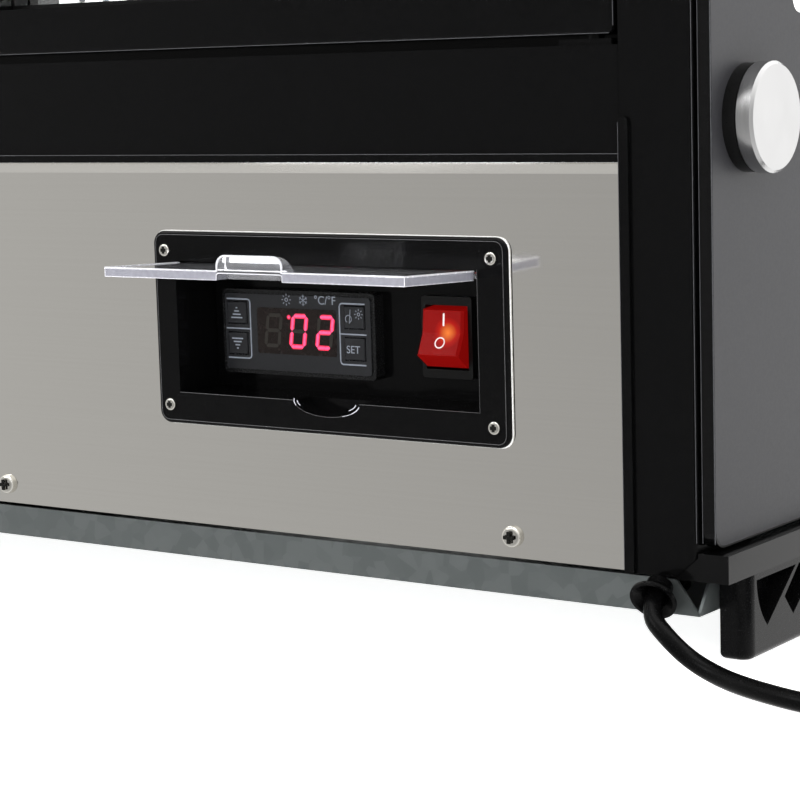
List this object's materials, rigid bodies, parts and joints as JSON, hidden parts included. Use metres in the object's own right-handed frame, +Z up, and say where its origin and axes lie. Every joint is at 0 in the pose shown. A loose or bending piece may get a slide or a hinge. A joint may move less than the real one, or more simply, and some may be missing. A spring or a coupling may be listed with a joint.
{
  "type": "refrigerated countertop display cabinet",
  "caption": "Curved-glass refrigerated countertop display cabinet with rear glass doors, control recess under a hinged clear lid, wire shelves and a mains lead.",
  "frame": {"origin": "on the worktop, under the middle of the cabinet's bounding box without its lead", "axes": "+X the operator's right, +Y through the cabinet to the customer side, +Z up"},
  "size_m": [0.8554, 0.552, 0.686],
  "materials": {
    "stainless": "satin",
    "galvanised": "spangled zinc",
    "black_coat": "gloss powder coat",
    "black_sheet": "gloss",
    "black_plastic": "gloss",
    "matte_black": "fine grain",
    "insulated_panel": "smooth",
    "clear_glass": "polished",
    "gasket_rubber": "matt",
    "foot_rubber": "satin",
    "chromed_wire": "polished",
    "lamp_aluminium": "satin",
    "lamp_cover": "frosted",
    "fan_plastic": "satin",
    "coil_fins": "mill",
    "compressor_paint": "satin",
    "clear_plastic": "clear",
    "controller_case": "gloss",
    "controller_label": "smooth film",
    "rocker_red": "clear",
    "screw_steel": "plain",
    "knob_steel": "turned",
    "lead_pvc": "satin",
    "plug_plastic": "satin"
  },
  "bodies": {
    "cabinet": {"base_pan": "galvanised", "cable_gland": "lead_pvc", "ceiling_panel": "insulated_panel", "compressor": "compressor_paint", "condenser_coil": "coil_fins", "condenser_fan_frame": "fan_plastic", "control_bezel": "black_plastic", "controller_body": "controller_case", "controller_face": "controller_label", "corner_post_left": "black_coat", "corner_post_right": "black_coat", "deck": "insulated_panel", "door_hinges": "black_coat", "door_surround": "black_coat", "evaporator_coil": "coil_fins", "evaporator_cover": "insulated_panel", "evaporator_fan_frame": "fan_plastic", "feet_left": "foot_rubber", "feet_right": "foot_rubber", "front_apron": "stainless", "front_glass": "clear_glass", "front_ledge": "black_coat", "lamp_diffuser": "lamp_cover", "lamp_housing": "lamp_aluminium", "lead_coil": "lead_pvc", "lead_tie": "lead_pvc", "machine_sides": "galvanised", "mains_lead": "lead_pvc", "panel_screws": "screw_steel", "plug": "plug_plastic", "rear_band": "black_plastic", "rear_fascia": "stainless", "rocker_frame": "matte_black", "shelf_lower": "chromed_wire", "shelf_upper": "chromed_wire", "shelf_uprights": "lamp_aluminium", "side_glass_left": "clear_glass", "side_glass_right": "clear_glass", "side_ledge_left": "black_coat", "side_ledge_right": "black_coat", "standoff_caps": "knob_steel", "standoff_washers": "matte_black", "top_cover": "black_sheet", "trim_strips": "black_plastic"},
    "lid": {"control_lid": "clear_plastic"},
    "rocker": {"rocker_paddle": "rocker_red"},
    "up_key": {"key_up": "controller_label"},
    "down_key": {"key_down": "controller_label"},
    "lamp_key": {"key_lamp": "controller_label"},
    "set_key": {"key_set": "controller_label"},
    "door_right": {"door_frame_right": "black_coat", "door_glass_right": "clear_glass", "door_gasket_right": "gasket_rubber", "door_handle_right": "black_plastic"},
    "door_left": {"door_frame_left": "black_coat", "door_glass_left": "clear_glass", "door_gasket_left": "gasket_rubber", "door_handle_left": "black_plastic"},
    "cooling_fan": {"condenser_fan": "fan_plastic"},
    "air_fan": {"evaporator_fan": "fan_plastic"}
  },
  "joints": [
    {"name": "lid_hinge", "type": "hinge", "parent": "cabinet", "child": "lid", "pos_m": [0.1783, -0.2275, 0.1401], "axis": [1, 0, 0], "range_deg": [0, 92]},
    {"name": "rocker_hinge", "type": "hinge", "parent": "cabinet", "child": "rocker", "pos_m": [0.2226, -0.2055, 0.1134], "axis": [1, 0, 0], "range_deg": [0, 30]},
    {"name": "up_press", "type": "slide", "parent": "cabinet", "child": "up_key", "axis": [0, 1, 0], "range_m": [0, 0.0008], "stiffness_N_per_m": 300},
    {"name": "down_press", "type": "slide", "parent": "cabinet", "child": "down_key", "axis": [0, 1, 0], "range_m": [0, 0.0008], "stiffness_N_per_m": 300},
    {"name": "lamp_press", "type": "slide", "parent": "cabinet", "child": "lamp_key", "axis": [0, 1, 0], "range_m": [0, 0.0008], "stiffness_N_per_m": 300},
    {"name": "set_press", "type": "slide", "parent": "cabinet", "child": "set_key", "axis": [0, 1, 0], "range_m": [0, 0.0008], "stiffness_N_per_m": 300},
    {"name": "right_door_hinge", "type": "hinge", "parent": "cabinet", "child": "door_right", "pos_m": [0.3007, -0.223, 0.4265], "axis": [0, 0, 1], "range_deg": [0, 100]},
    {"name": "left_door_hinge", "type": "hinge", "parent": "cabinet", "child": "door_left", "pos_m": [-0.3007, -0.223, 0.4265], "axis": [0, 0, -1], "range_deg": [0, 100]},
    {"name": "cooling_fan_spin", "type": "hinge", "parent": "cabinet", "child": "cooling_fan", "pos_m": [0.15, 0.188, 0.102], "axis": [0, 1, 0], "continuous": true},
    {"name": "air_fan_spin", "type": "hinge", "parent": "cabinet", "child": "air_fan", "pos_m": [0.23, 0.182, 0.259], "axis": [0, 1, 0], "continuous": true}
  ]
}
